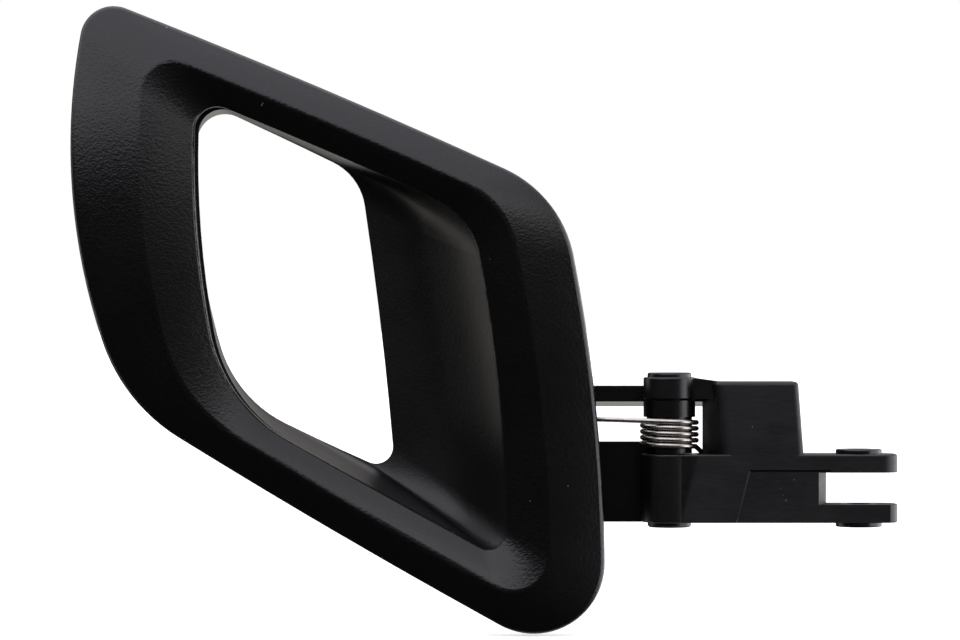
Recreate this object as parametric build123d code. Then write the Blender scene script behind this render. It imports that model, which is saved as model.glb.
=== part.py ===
from build123d import *
import os
from math import acos, cos, pi, radians, sin
from typing import NamedTuple

# A pull handle for the inside of a car door: a moulded loop that swings on a hinge pin in a forked lever.
# Millimetres. +Z runs up the fork's bore, +X from the loop to the fork, and the driver is in front, at -Y.
# The origin is the middle of the fork's bore.

ON_FOOT = (Align.CENTER, Align.CENTER, Align.MIN)
FACE_TOLERANCE = 0.01


class Outline(NamedTuple):
    """A four-sided outline with bowed sides and rounded corners, seen from the front.

    corners: top left, top right, bottom right, bottom left, as x from the hinge pin's axis and z
    bulges: how far the top, right, bottom and left sides bow outwards
    radii: the rounding of each corner
    """

    corners: tuple
    bulges: tuple
    radii: tuple


# The loop seen from the front, from its outer edge to the hole in its back
OUTER_EDGE = Outline(
    corners=((-134.9, 114.8), (-25.9, 68.5), (-16.3, -43.9), (-125.9, 19.5)),
    bulges=(1.0, 4.1, 1.2, 8.3),
    radii=(7.7, 28.2, 16.4, 41.8),
)
RIDGE_LINE = Outline(
    corners=((-121.5, 102.1), (-38.5, 66.4), (-28.5, -28.8), (-112.0, 19.3)),
    bulges=(0.8, 2.8, 0.9, 5.7),
    radii=(7.6, 19.4, 8.4, 38.5),
)
INNER_EDGE = Outline(
    corners=((-110.2, 91.2), (-46.6, 63.7), (-38.4, -16.4), (-103.0, 19.6)),
    bulges=(0.4, 2.1, 0.2, 3.0),
    radii=(5.3, 19.0, 4.2, 36.4),
)
TUNNEL_EDGE = Outline(
    corners=((-109.5, 90.9), (-46.6, 63.7), (-38.4, -16.4), (-102.3, 19.2)),
    bulges=(0.4, 2.1, 0.2, 3.0),
    radii=(5.5, 19.0, 4.2, 36.4),
)
REAR_OPENING = Outline(
    corners=((-110.5, 91.4), (-72.9, 73.6), (-64.6, 3.1), (-101.4, 20.5)),
    bulges=(0.2, 0.7, 0.4, 4.7),
    radii=(6.6, 13.6, 4.0, 29.6),
)

# The loop from front to back, where a front is a distance in front of the hinge pin's axis
RIM_BACK = 9.5
RIM_DEPTH = 5.2
RIDGE_RISE = 3.2
RIDGE_DROP = 3.6
BAND_BOW = 0.35
LIP_STEP = 0.6
OPENING_DEPTH = 7.0
OPENING_RELIEF = 0.2
RIM_FRONT = RIM_BACK + RIM_DEPTH
RIDGE_FRONT = RIM_FRONT + RIDGE_RISE
LIP_BACK = RIM_BACK + LIP_STEP
LIP_FRONT = RIDGE_FRONT - RIDGE_DROP

# Walls and roundings of the loop
COVER_WALL = 2.4
COVER_SHOULDER = 1.0
RIDGE_WALL = 2.6
RIM_DRAFT = 0.1
RIDGE_ROUND = 2.5
RIM_ROUND = 1.4
LIP_ROUND = 0.8
PLATE_THICKNESS = 2.2
PLATE_INSET = 0.6
TUNNEL_WALL = 2.5
PARTING_GAP = 0.2
SCOOP_STEPS = (0.0, 0.3, 0.55, 0.75, 0.9, 0.97, 1.0)
SCOOP_FRONT_SLOPE = 58
SCOOP_BACK_SLOPE = 8
CUT_MARGIN = 1.0
PLATE_BACK = RIM_BACK - PLATE_THICKNESS
TUNNEL_FRONT = LIP_BACK - PARTING_GAP
TUNNEL_BACK = -OPENING_DEPTH - TUNNEL_WALL

# Ribs behind the loop, each at a share of the way along its top, right, bottom or left side
RIB_SHARES = ((0.2, 0.62, 0.85), (0.28, 0.45, 0.95), (0.22, 0.45, 0.8), (0.2, 0.48, 0.88))
RIB_WIDTH = 1.6
RIB_MARGIN = 2.5
RIB_BACK = 3.0
SCOOP_RIB_ROOT = 18.0
SCOOP_SIDE = 1

# Screws from the back plate into bosses under the ridge
SCREW_PLACES = ((-124.0, 70.0), (-76.0, 83.8), (-34.5, 52.0), (-28.5, -21.5), (-75.0, -3.5))
SCREW_RADIUS = 1.5
SCREW_LENGTH = 6.6
SCREW_HEAD_RADIUS = 2.9
SCREW_HEAD_HEIGHT = 1.9
SCREW_HEAD_ROUND = 0.7
SCREW_HOLE_GAP = 0.2
DRIVE_ACROSS = 1.9
DRIVE_WIDTH = 0.5
DRIVE_DEPTH = 0.9
BOSS_RADIUS = 3.2
BOSS_HOLE_SPARE = 0.6

# Hinge pin, ears and knuckle
HINGE_TO_FORK = 44.5
PIN_RADIUS = 3.5
PIN_HEAD_RADIUS = 5.15
PIN_HEAD_HEIGHT = 1.1
PIN_HEAD_EDGE = 0.5
PIN_CAP_RADIUS = 5.1
PIN_CAP_HEIGHT = 1.2
PIN_CAP_CHAMFER = 0.4
PIN_TAIL = 0.7
RUNNING_FIT = 0.05
PRESS_GAP = 0.02
END_PLAY = 0.2
EAR_RADIUS = 6.1
LOWER_EAR_STEP = 0.5
EAR_EDGE = 0.4
UPPER_EAR_HEIGHT = 5.2
KNUCKLE_LENGTH = 12.4
COLLAR_HEIGHT = 3.9
SPRING_SEAT_RADIUS = 5.35
PIN_X = -HINGE_TO_FORK

# Lever, with the fork at its far end
LEVER_HEIGHT = 16.0
LEVER_EDGE = 0.4
FORK_GAP = 7.5
FORK_REACH = 8.8
FORK_TIP_ROUND = 4.0
SLOT_FLOOR = 10.0
SLOT_SLANT = 2.9
BLOCK_STEP = 1.0
BLOCK_NEAR_FOOT = 12.8
BLOCK_NEAR_TOP = 10.8
BLOCK_NEAR_BACK = 8.1
BLOCK_FAR_FOOT = 31.2
BLOCK_FAR_TOP = 29.9
BLOCK_NEAR_ROUND = 2.6
BLOCK_FAR_ROUND = 1.6
BLOCK_TOP_ROUND = 0.9
WEB_FRONT = 2.0
WEB_HEIGHT = 4.1
WEB_STEP = 0.2
CORE_WALL = 2.4
CORE_RIB = 1.8
BODY_CORE_NEAR = 10.5
RECESS_DEPTH = 0.6
RECESS_DRAFT = 0.4
RECESS_TOP = 4.4
RECESS_TOP_REACH = 18.3
RECESS_FOOT_REACH = 15.0
BUSH_BORE_RADIUS = 3.0
BUSH_BARREL_RADIUS = 4.2
BUSH_COLLAR_RADIUS = 5.4
BUSH_COLLAR_HEIGHT = 1.1
BUSH_COLLAR_EDGE = 0.35
HALF_LEVER = LEVER_HEIGHT / 2
KNUCKLE_FOOT = HALF_LEVER + END_PLAY
KNUCKLE_TOP = KNUCKLE_FOOT + KNUCKLE_LENGTH
COLLAR_FOOT = KNUCKLE_TOP - COLLAR_HEIGHT
UPPER_EAR_FOOT = KNUCKLE_TOP + END_PLAY
UPPER_EAR_TOP = UPPER_EAR_FOOT + UPPER_EAR_HEIGHT
BLOCK_TOP = UPPER_EAR_TOP - BLOCK_STEP

# Return spring: its top leg lies behind the loop and its tail stands in a pocket of the lever
WIRE_RADIUS = 0.6
COIL_PLAY = 0.4
COIL_PITCH = 1.4
COIL_TURNS = 4.2
COIL_DROP = 0.4
LEG_LENGTH = 25.0
TAIL_LENGTH = 6.4
TAIL_DROP = 1.7
TAIL_PLAY = 0.3
COIL_RADIUS = SPRING_SEAT_RADIUS + COIL_PLAY + WIRE_RADIUS
COIL_TOP = COLLAR_FOOT - COIL_DROP - WIRE_RADIUS
COIL_FOOT = COIL_TOP - COIL_PITCH * COIL_TURNS
COIL_REACH = COIL_RADIUS + WIRE_RADIUS
COIL_SLOPE = COIL_PITCH / (2 * pi * COIL_RADIUS)
FOOT_TURN = 360 * (COIL_TURNS % 1) - 90

# Arms from the loop's back to the knuckle, behind the lever
ARM_CLEARANCE = 0.65
ARM_ROOT_X = -37.0
ARM_ROOT_WIDTH = 4.5
ARM_BEND_X = -17.0
ARM_END_X = 9.0
ARM_RISE = 3.2
ARM_OVERLAP = 0.5
UPPER_ARM_DEPTH = 7.5
UNDERSIDE_DROP = 1.3
LOWER_ARM_WALL = 3.0
LOWER_ARM_TOP_STEP = 2.6
LOWER_ARM_FOOT_STEP = 0.4
LOWER_ARM_FULL_X = 3.5
LOWER_ARM_END_X = 7.0
STOP_GAP = 0.3
STOP_WIDTH = 4.5
KNUCKLE_WEB_WIDTH = 9.0
HOOK_X = -24.5
HOOK_WIDTH = 5.0
HOOK_WALL = 2.0
HOOK_RIB = 1.8
HOOK_PLAY = 0.25
ARM_FRONT = COIL_REACH + ARM_CLEARANCE
UPPER_ARM_FOOT = KNUCKLE_TOP - ARM_OVERLAP
UPPER_ARM_TOP = KNUCKLE_TOP + ARM_RISE
LOWER_ARM_TOP = HALF_LEVER + LOWER_ARM_TOP_STEP
LOWER_ARM_FOOT = -HALF_LEVER - LOWER_ARM_FOOT_STEP


def left_of(direction):
    """The direction turned a quarter turn to the left, which is outwards on a clockwise outline."""
    return Vector(-direction.Y, direction.X)


def facing(x, front, z=0):
    """A plane that faces the driver, with x from the hinge pin's axis."""
    return Plane(origin=(PIN_X + x, -front, z), x_dir=(1, 0, 0), z_dir=(0, -1, 0))


def side_normals(outline):
    """The outward direction of the top, right, bottom and left sides."""
    points = [Vector(x, z) for x, z in outline.corners]
    return [left_of((points[(i + 1) % 4] - points[i]).normalized()) for i in range(4)]


def outline_face(outline, plane):
    """The outline as a face in a plane that faces the driver."""
    points = [Vector(x, z) for x, z in outline.corners]
    sides = []
    for i, normal in enumerate(side_normals(outline)):
        start = points[i]
        end = points[(i + 1) % 4]
        sides.append(ThreePointArc(start, (start + end) / 2 + normal * outline.bulges[i], end))
    face = make_face(sides)
    for point, radius in zip(points, outline.radii):
        face = fillet(face.vertices().sort_by_distance(point)[0], radius)
    return plane * face


def grown(outline, amount):
    """The outline with every side moved outwards by an amount."""
    normals = side_normals(outline)
    corners = []
    for i, (x, z) in enumerate(outline.corners):
        before = normals[i - 1]
        after = normals[i]
        corner = Vector(x, z) + (before + after) * (amount / (1 + before.dot(after)))
        corners.append((corner.X, corner.Y))
    return Outline(tuple(corners), outline.bulges, tuple(radius + amount for radius in outline.radii))


def between(first, last, left_share, right_share):
    """An outline between two others, whose left and right ends have their own share of the way."""
    ends = (left_share, right_share, right_share, left_share)
    middle = (left_share + right_share) / 2
    sides = (middle, right_share, middle, left_share)
    corners = tuple(
        (a[0] + (b[0] - a[0]) * share, a[1] + (b[1] - a[1]) * share)
        for a, b, share in zip(first.corners, last.corners, ends)
    )
    bulges = tuple(a + (b - a) * share for a, b, share in zip(first.bulges, last.bulges, sides))
    radii = tuple(a + (b - a) * share for a, b, share in zip(first.radii, last.radii, ends))
    return Outline(corners, bulges, radii)


def edges_in(shape, plane):
    """The edges of a shape that lie in a plane."""

    def lies_in_plane(edge):
        return all(abs(plane.to_local_coords(edge @ share).Z) < FACE_TOLERANCE for share in (0, 0.5, 1))

    return shape.edges().filter_by(lies_in_plane)


def plan(points):
    """A face in plan, from points given as x from the hinge pin's axis and y."""
    return Pos(PIN_X, 0, 0) * make_face(Polyline(*points, close=True))


def raised(face, low, high):
    """A face in plan, extruded from one height to another."""
    return extrude(Pos(0, 0, low) * face, amount=high - low, dir=(0, 0, 1))


def block_between(x_range, y_range, z_range):
    """A box from its lowest to its highest corner, with x from the hinge pin's axis."""
    low = Vector(x_range[0], y_range[0], z_range[0])
    high = Vector(x_range[1], y_range[1], z_range[1])
    size = high - low
    centre = (low + high) / 2
    return Pos(PIN_X + centre.X, centre.Y, centre.Z) * Box(size.X, size.Y, size.Z)


def along_pin(radius, low, high):
    """A cylinder on the hinge pin's axis, from one height to another."""
    return Pos(PIN_X, 0, low) * Cylinder(radius, high - low, align=ON_FOOT)


def along_bore(radius, low, high):
    """A cylinder on the fork's bore, from one height to another."""
    return Pos(0, 0, low) * Cylinder(radius, high - low, align=ON_FOOT)


def along_screws(radius, back, front):
    """A cylinder on each screw's axis, from one front to another."""
    posts = []
    for x, z in SCREW_PLACES:
        posts.append(facing(x, back, z) * Cylinder(radius, front - back, align=ON_FOOT))
    return posts


def to_ridge(edge, front):
    """A bowed band from an outline up to the ridge, filled in."""
    middle = between(edge, RIDGE_LINE, 0.5, 0.5)
    middle_front = (front + RIDGE_FRONT) / 2 + BAND_BOW
    return loft(
        [
            outline_face(edge, facing(0, front)),
            outline_face(middle, facing(0, middle_front)),
            outline_face(RIDGE_LINE, facing(0, RIDGE_FRONT)),
        ]
    )


def cover_envelope():
    """The cover's outside: rim, outer band, ridge, inner slope and lip, filled in behind."""
    rim = loft(
        [
            outline_face(grown(OUTER_EDGE, RIM_DRAFT), facing(0, RIM_BACK)),
            outline_face(OUTER_EDGE, facing(0, RIM_FRONT)),
        ],
        ruled=True,
    )
    form = rim + to_ridge(OUTER_EDGE, RIM_FRONT)
    form -= to_ridge(INNER_EDGE, LIP_FRONT)
    lip = outline_face(INNER_EDGE, facing(0, LIP_FRONT))
    form -= extrude(lip, amount=LIP_FRONT - LIP_BACK, dir=(0, 1, 0))
    for front, radius in ((RIDGE_FRONT, RIDGE_ROUND), (RIM_FRONT, RIM_ROUND), (LIP_FRONT, LIP_ROUND)):
        form = fillet(edges_in(form, facing(0, front)), radius)
    return form


def handle_cover():
    """The front shell: a ring with a ridge, hollow behind, with a boss for each screw."""
    envelope = cover_envelope()
    inner_rim = grown(OUTER_EDGE, -COVER_WALL)
    outer_lip = grown(INNER_EDGE, COVER_WALL)
    hollow = loft(
        [
            outline_face(inner_rim, facing(0, RIM_BACK - CUT_MARGIN)),
            outline_face(inner_rim, facing(0, RIM_FRONT - COVER_SHOULDER)),
            outline_face(RIDGE_LINE, facing(0, RIDGE_FRONT - RIDGE_WALL)),
            outline_face(outer_lip, facing(0, LIP_BACK + PARTING_GAP)),
            outline_face(outer_lip, facing(0, LIP_BACK)),
        ],
        ruled=True,
    )
    shell = envelope - hollow
    for boss in along_screws(BOSS_RADIUS, RIM_BACK, RIDGE_FRONT + RIDGE_RISE):
        shell += boss & envelope
    hole_front = PLATE_BACK + SCREW_LENGTH + BOSS_HOLE_SPARE
    for hole in along_screws(SCREW_RADIUS + PRESS_GAP, RIM_BACK, hole_front):
        shell -= hole
    return shell


def tunnel(wall, back):
    """The space inside the loop, or its outside at a wall's distance, with the finger scoop on the right.

    The right side follows an arc: it leaves the front edge steeply
    and sweeps round until it almost faces forwards at the hole in the back.
    """
    steep = radians(SCOOP_FRONT_SLOPE)
    flat = radians(SCOOP_BACK_SLOPE)
    sections = []
    for step in SCOOP_STEPS:
        slope = acos(cos(steep) + (cos(flat) - cos(steep)) * step)
        sweep = (sin(steep) - sin(slope)) / (sin(steep) - sin(flat))
        outline = between(TUNNEL_EDGE, REAR_OPENING, step, sweep)
        front = TUNNEL_FRONT + (back - TUNNEL_FRONT) * step
        sections.append(outline_face(grown(outline, wall), facing(0, front)))
    return loft(sections)


def tunnel_space():
    """Everything that is cut from the base inside the loop, right through its back."""
    hole = outline_face(grown(REAR_OPENING, OPENING_RELIEF), facing(0, -OPENING_DEPTH))
    through = extrude(hole, amount=2 * TUNNEL_WALL, dir=(0, 1, 0))
    return tunnel(0, -OPENING_DEPTH) + through


def arm_bracket():
    """The bent wall behind the right side of the loop, with the two arms that reach past the hinge pin."""
    back = -PLATE_BACK
    root = plan(
        [
            (ARM_ROOT_X, back),
            (ARM_ROOT_X + ARM_ROOT_WIDTH, back),
            (ARM_BEND_X, ARM_FRONT),
            (ARM_BEND_X, ARM_FRONT + LOWER_ARM_WALL),
            (ARM_BEND_X - ARM_ROOT_WIDTH, ARM_FRONT + LOWER_ARM_WALL),
        ]
    )
    bracket = raised(root, LOWER_ARM_FOOT, UPPER_ARM_TOP)
    wedge = plan([(ARM_ROOT_X, back), (ARM_BEND_X - LOWER_ARM_WALL, back), (ARM_BEND_X, ARM_FRONT)])
    bracket += raised(wedge, UPPER_ARM_TOP - RIB_WIDTH, UPPER_ARM_TOP)
    bracket += raised(wedge, LOWER_ARM_FOOT, LOWER_ARM_FOOT + RIB_WIDTH)
    section = Plane(origin=(PIN_X + ARM_BEND_X - LOWER_ARM_WALL, 0, 0), x_dir=(0, 1, 0), z_dir=(1, 0, 0))
    arm_back = ARM_FRONT + UPPER_ARM_DEPTH
    upper_arm = make_face(
        Polyline(
            (ARM_FRONT, UPPER_ARM_FOOT),
            (ARM_FRONT, UPPER_ARM_TOP),
            (arm_back, UPPER_ARM_TOP),
            (arm_back, UPPER_ARM_FOOT - UNDERSIDE_DROP),
            close=True,
        )
    )
    bracket += extrude(section * upper_arm, amount=ARM_END_X - ARM_BEND_X + LOWER_ARM_WALL, dir=(1, 0, 0))
    bracket += block_between(
        (ARM_END_X - STOP_WIDTH, ARM_END_X),
        (EAR_RADIUS + STOP_GAP, ARM_FRONT),
        (UPPER_ARM_FOOT, UPPER_ARM_TOP),
    )
    lower_back = ARM_FRONT + LOWER_ARM_WALL
    bracket += block_between(
        (ARM_BEND_X, LOWER_ARM_FULL_X), (ARM_FRONT, lower_back), (LOWER_ARM_FOOT, LOWER_ARM_TOP)
    )
    bracket += block_between(
        (LOWER_ARM_FULL_X, LOWER_ARM_END_X), (ARM_FRONT, lower_back), (LOWER_ARM_FOOT, HALF_LEVER - STOP_GAP)
    )
    return bracket


def knuckle():
    """The hinge barrel between the lever's ears: a collar above the spring's seat, webbed to an arm."""
    barrel = along_pin(SPRING_SEAT_RADIUS, KNUCKLE_FOOT, KNUCKLE_TOP)
    barrel += along_pin(EAR_RADIUS, COLLAR_FOOT, KNUCKLE_TOP)
    half_web = KNUCKLE_WEB_WIDTH / 2
    return barrel + block_between(
        (-half_web, half_web), (0, ARM_FRONT + UPPER_ARM_DEPTH), (COLLAR_FOOT, KNUCKLE_TOP)
    )


def spring_hook():
    """The hook on the back plate that holds the spring's top leg against the loop."""
    rib_foot = COIL_TOP + WIRE_RADIUS - HOOK_X * COIL_SLOPE + HOOK_PLAY
    wall_front = -COIL_RADIUS + WIRE_RADIUS + HOOK_PLAY
    wall_back = wall_front + HOOK_WALL
    top = rib_foot + HOOK_RIB
    x_range = (HOOK_X, HOOK_X + HOOK_WIDTH)
    hook = block_between(x_range, (wall_front, wall_back), (COIL_TOP - HOOK_RIB, top))
    return hook + block_between(x_range, (-PLATE_BACK, wall_back), (rib_foot, top))


def back_rib(side, share):
    """A triangular rib between the back plate and the outside of the tunnel, on one side of the loop."""
    root = grown(INNER_EDGE, TUNNEL_WALL / 2)
    start = Vector(*root.corners[side])
    end = Vector(*root.corners[(side + 1) % 4])
    foot = start + (end - start) * share
    normal = side_normals(root)[side]
    reach = (Vector(*OUTER_EDGE.corners[side]) - foot).dot(normal) - RIB_MARGIN
    inward = SCOOP_RIB_ROOT if side == SCOOP_SIDE else 0
    back = -PLATE_BACK
    profile = make_face(Polyline((-inward, back), (reach, back), (-inward, RIB_BACK), close=True))
    across = Plane(
        origin=(PIN_X + foot.X, 0, foot.Y), x_dir=(normal.X, 0, normal.Y), z_dir=(-normal.Y, 0, normal.X)
    )
    return extrude(across * profile, amount=RIB_WIDTH / 2, both=True)


def back_ribs():
    """All the ribs behind the loop."""
    return [back_rib(side, share) for side, shares in enumerate(RIB_SHARES) for share in shares]


def handle_base():
    """The rear shell: back plate, tunnel with the finger scoop, ribs, arms and the hinge knuckle."""
    plate = outline_face(grown(OUTER_EDGE, -PLATE_INSET), facing(0, RIM_BACK))
    base = extrude(plate, amount=PLATE_THICKNESS, dir=(0, 1, 0))
    base += tunnel(TUNNEL_WALL, TUNNEL_BACK)
    for rib in back_ribs():
        base += rib
    base += arm_bracket()
    base += knuckle()
    base += spring_hook()
    base -= tunnel_space()
    base -= extrude(outline_face(INNER_EDGE, facing(0, TUNNEL_FRONT)), amount=-CUT_MARGIN, dir=(0, 1, 0))
    base -= along_pin(PIN_RADIUS + RUNNING_FIT, KNUCKLE_FOOT, KNUCKLE_TOP)
    for hole in along_screws(SCREW_RADIUS + SCREW_HOLE_GAP, PLATE_BACK, RIM_BACK):
        base -= hole
    return base


def cover_screws():
    """The screws, each with a rounded head and a cross drive, heads against the back plate."""
    screws = []
    heads = along_screws(SCREW_HEAD_RADIUS, PLATE_BACK - SCREW_HEAD_HEIGHT, PLATE_BACK)
    shanks = along_screws(SCREW_RADIUS, PLATE_BACK, PLATE_BACK + SCREW_LENGTH)
    for (x, z), head, shank in zip(SCREW_PLACES, heads, shanks):
        head_edge = edges_in(head, facing(0, PLATE_BACK - SCREW_HEAD_HEIGHT))
        screw = fillet(head_edge, SCREW_HEAD_ROUND) + shank
        drive_y = SCREW_HEAD_HEIGHT - PLATE_BACK - DRIVE_DEPTH / 2
        for width, height in ((DRIVE_ACROSS * 2, DRIVE_WIDTH), (DRIVE_WIDTH, DRIVE_ACROSS * 2)):
            screw -= Pos(PIN_X + x, drive_y, z) * Box(width, DRIVE_DEPTH, height)
        screws.append(screw)
    return Compound(children=screws)


def lever_body():
    """The lever's lower bar in plan: round at the hinge, with the fork's rounded tip at the far end."""
    length = HINGE_TO_FORK + FORK_REACH
    bar = Pos(PIN_X + length / 2, 0) * Rectangle(length, EAR_RADIUS * 2)
    tips = bar.vertices().sort_by(Axis.X)[-2:]
    bar = fillet(tips, FORK_TIP_ROUND) + Pos(PIN_X, 0) * Circle(EAR_RADIUS + LOWER_EAR_STEP)
    body = raised(bar, -HALF_LEVER, HALF_LEVER)
    ends = body.faces().filter_by(Axis.Z)
    return fillet(ends.edges(), LEVER_EDGE)


def lever_block():
    """The block that stands on the lever, with a slanted wall beside the spring and drafted ends."""
    depth = EAR_RADIUS
    sections = []
    for near, far, height in (
        (BLOCK_NEAR_FOOT, BLOCK_FAR_FOOT, HALF_LEVER - LEVER_EDGE),
        (BLOCK_NEAR_TOP, BLOCK_FAR_TOP, BLOCK_TOP),
    ):
        face = plan([(near, -depth), (far, -depth), (far, depth), (BLOCK_NEAR_BACK, depth)])
        for x, radius in ((near, BLOCK_NEAR_ROUND), (far, BLOCK_FAR_ROUND)):
            face = fillet(face.vertices().sort_by_distance((PIN_X + x, -depth, 0))[0], radius)
        sections.append(Pos(0, 0, height) * face)
    block = loft(sections, ruled=True)
    return fillet(block.faces().sort_by(Axis.Z)[-1].edges(), BLOCK_TOP_ROUND)


def ear_web():
    """The web from the upper ear to the block, with its sloping top."""
    web_foot = BLOCK_TOP - WEB_HEIGHT
    web_top = UPPER_EAR_TOP - WEB_STEP
    web_end = BLOCK_NEAR_TOP + BLOCK_TOP_ROUND
    profile = make_face(
        Polyline(
            (0, web_foot),
            (0, web_top),
            (EAR_RADIUS, web_top),
            (web_end, BLOCK_TOP),
            (web_end, web_foot),
            close=True,
        )
    )
    return extrude(facing(0, -EAR_RADIUS) * profile, amount=EAR_RADIUS + WEB_FRONT, dir=(0, -1, 0))


def core_pockets():
    """The pockets that core the block and the bar from behind, with ribs between them."""
    floor = CORE_WALL - EAR_RADIUS
    back = EAR_RADIUS + CUT_MARGIN
    block_span = (BLOCK_NEAR_FOOT + CORE_WALL, BLOCK_FAR_TOP - CORE_WALL)
    bar_span = (BODY_CORE_NEAR, HINGE_TO_FORK - SLOT_FLOOR - CORE_WALL)
    block_heights = (HALF_LEVER + CORE_WALL, BLOCK_TOP - CORE_WALL)
    bar_heights = (CORE_WALL - HALF_LEVER, HALF_LEVER - 2 * CORE_WALL)
    pockets = []
    for (near, far), front, heights in (
        (block_span, floor, block_heights),
        (bar_span, floor + RECESS_DEPTH, bar_heights),
    ):
        middle = (near + far) / 2
        pockets.append(block_between((near, middle - CORE_RIB / 2), (front, back), heights))
        pockets.append(block_between((middle + CORE_RIB / 2, far), (front, back), heights))
    return pockets


def fork_slot():
    """The gap between the fork's tines, whose floor slants towards the bore at the back."""
    edge = EAR_RADIUS + CUT_MARGIN
    end = FORK_REACH + CUT_MARGIN
    slant = SLOT_SLANT * edge / (2 * EAR_RADIUS)
    middle = SLOT_SLANT / 2 - SLOT_FLOOR
    outline = Polyline((middle - slant, -edge), (end, -edge), (end, edge), (middle + slant, edge), close=True)
    return raised(make_face(outline), -FORK_GAP / 2, FORK_GAP / 2)


def front_recess():
    """The shallow recess in the front of the bar, with a slanting near edge and drafted walls."""
    sections = []
    for inset, front in ((RECESS_DRAFT, EAR_RADIUS - RECESS_DEPTH), (0, EAR_RADIUS)):
        foot_height = -HALF_LEVER - CUT_MARGIN
        end = HINGE_TO_FORK + FORK_REACH + CUT_MARGIN
        slot_floor = HINGE_TO_FORK - SLOT_FLOOR + SLOT_SLANT
        profile = make_face(
            Polyline(
                (RECESS_FOOT_REACH + inset, foot_height),
                (RECESS_TOP_REACH + inset, RECESS_TOP - inset),
                (slot_floor, RECESS_TOP - inset),
                (slot_floor, -FORK_GAP / 2),
                (end, -FORK_GAP / 2),
                (end, foot_height),
                close=True,
            )
        )
        sections.append(facing(0, front) * profile)
    return loft(sections, ruled=True)


def tail_line():
    """The ends of the spring's tail, from the foot of its coil down into the lever."""
    start = Vector(COIL_RADIUS, 0, 0).rotate(Axis.Z, FOOT_TURN) + Vector(PIN_X, 0, COIL_FOOT)
    along = Vector(0, TAIL_LENGTH, 0).rotate(Axis.Z, FOOT_TURN)
    return start, start + along - Vector(0, 0, TAIL_DROP)


def tail_pocket():
    """The pocket at the foot of the block that the spring's tail stands in."""
    start, end = tail_line()
    room = WIRE_RADIUS + TAIL_PLAY
    return block_between(
        (end.X - PIN_X - 2 * room, end.X - PIN_X + room),
        ((start.Y + end.Y) / 2, end.Y + room),
        (end.Z - room, start.Z),
    )


def hinge_lever():
    """The moulded lever: bar with fork, block, upper ear and web, cored from behind."""
    lever = lever_body() + lever_block() + ear_web()
    ear = along_pin(EAR_RADIUS, UPPER_EAR_FOOT, UPPER_EAR_TOP)
    lever += fillet(ear.edges().filter_by(GeomType.CIRCLE), EAR_EDGE)
    lever -= along_pin(COIL_REACH + STOP_GAP, HALF_LEVER, UPPER_EAR_FOOT - END_PLAY)
    for pocket in core_pockets():
        lever -= pocket
    lever -= fork_slot()
    lever -= front_recess()
    lever -= along_pin(PIN_RADIUS + PRESS_GAP, -HALF_LEVER, UPPER_EAR_TOP)
    lever -= along_bore(BUSH_BARREL_RADIUS + PRESS_GAP, -HALF_LEVER, HALF_LEVER)
    return lever - tail_pocket()


def hinge_pin():
    """The pin, with a low domed head on the upper ear."""
    shank = along_pin(PIN_RADIUS, -HALF_LEVER - PIN_TAIL, UPPER_EAR_TOP)
    head = along_pin(PIN_HEAD_RADIUS, UPPER_EAR_TOP, UPPER_EAR_TOP + PIN_HEAD_HEIGHT)
    return shank + fillet(head.edges().sort_by(Axis.Z)[-1], PIN_HEAD_EDGE)


def pin_cap():
    """The cap that closes the lower end of the pin."""
    low = -HALF_LEVER - PIN_CAP_HEIGHT
    cap = along_pin(PIN_CAP_RADIUS, low, -HALF_LEVER)
    cap = chamfer(cap.edges().sort_by(Axis.Z)[0], PIN_CAP_CHAMFER)
    return cap - along_pin(PIN_RADIUS + PRESS_GAP, -HALF_LEVER - PIN_TAIL, -HALF_LEVER)


def wire(start, end):
    """A straight run of the spring's wire."""
    along = end - start
    return Plane(origin=start, z_dir=along) * Cylinder(WIRE_RADIUS, along.length, align=ON_FOOT)


def return_spring():
    """The torsion spring: a left-handed coil with a leg behind the loop and a tail in the lever."""
    helix = Helix(COIL_PITCH, COIL_PITCH * COIL_TURNS, COIL_RADIUS, lefthand=True)
    section = Plane(origin=helix @ 0, z_dir=helix % 0) * Circle(WIRE_RADIUS)
    coil = Pos(PIN_X, 0, COIL_FOOT) * Rot(0, 0, FOOT_TURN) * sweep(section, path=helix)
    leg_start = Vector(PIN_X, -COIL_RADIUS, COIL_TOP)
    leg = wire(leg_start, leg_start + Vector(-LEG_LENGTH, 0, LEG_LENGTH * COIL_SLOPE))
    start, end = tail_line()
    return coil + leg + wire(start, end) + Pos(*start) * Sphere(WIRE_RADIUS)


def clevis_bush(side):
    """A flanged bush in one tine of the fork: side is 1 above and -1 below."""
    collar = along_bore(BUSH_COLLAR_RADIUS, HALF_LEVER, HALF_LEVER + BUSH_COLLAR_HEIGHT)
    collar = fillet(collar.edges().sort_by(Axis.Z)[-1], BUSH_COLLAR_EDGE)
    bush = collar + along_bore(BUSH_BARREL_RADIUS, FORK_GAP / 2, HALF_LEVER)
    bush -= along_bore(BUSH_BORE_RADIUS, FORK_GAP / 2, HALF_LEVER + BUSH_COLLAR_HEIGHT)
    return bush if side > 0 else bush.rotate(Axis.X, 180)


PIECES = {
    "handle_cover": handle_cover(),
    "handle_base": handle_base(),
    "cover_screws": cover_screws(),
    "hinge_lever": hinge_lever(),
    "hinge_pin": hinge_pin(),
    "pin_cap": pin_cap(),
    "return_spring": return_spring(),
    "clevis_bush_upper": clevis_bush(1),
    "clevis_bush_lower": clevis_bush(-1),
}

os.makedirs("parts", exist_ok=True)
for name, piece in PIECES.items():
    export_step(piece, f"parts/{name}.step")
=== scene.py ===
"""Dresses a car door's pull handle and sets up the studio that it is shown in.

The loop is grained black plastic, the lever is satin, and the return spring is drawn steel wire.
"""

import logging
import math
from dataclasses import dataclass
from enum import Enum

import bmesh
import bpy
from mathutils import Matrix, Vector


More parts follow.
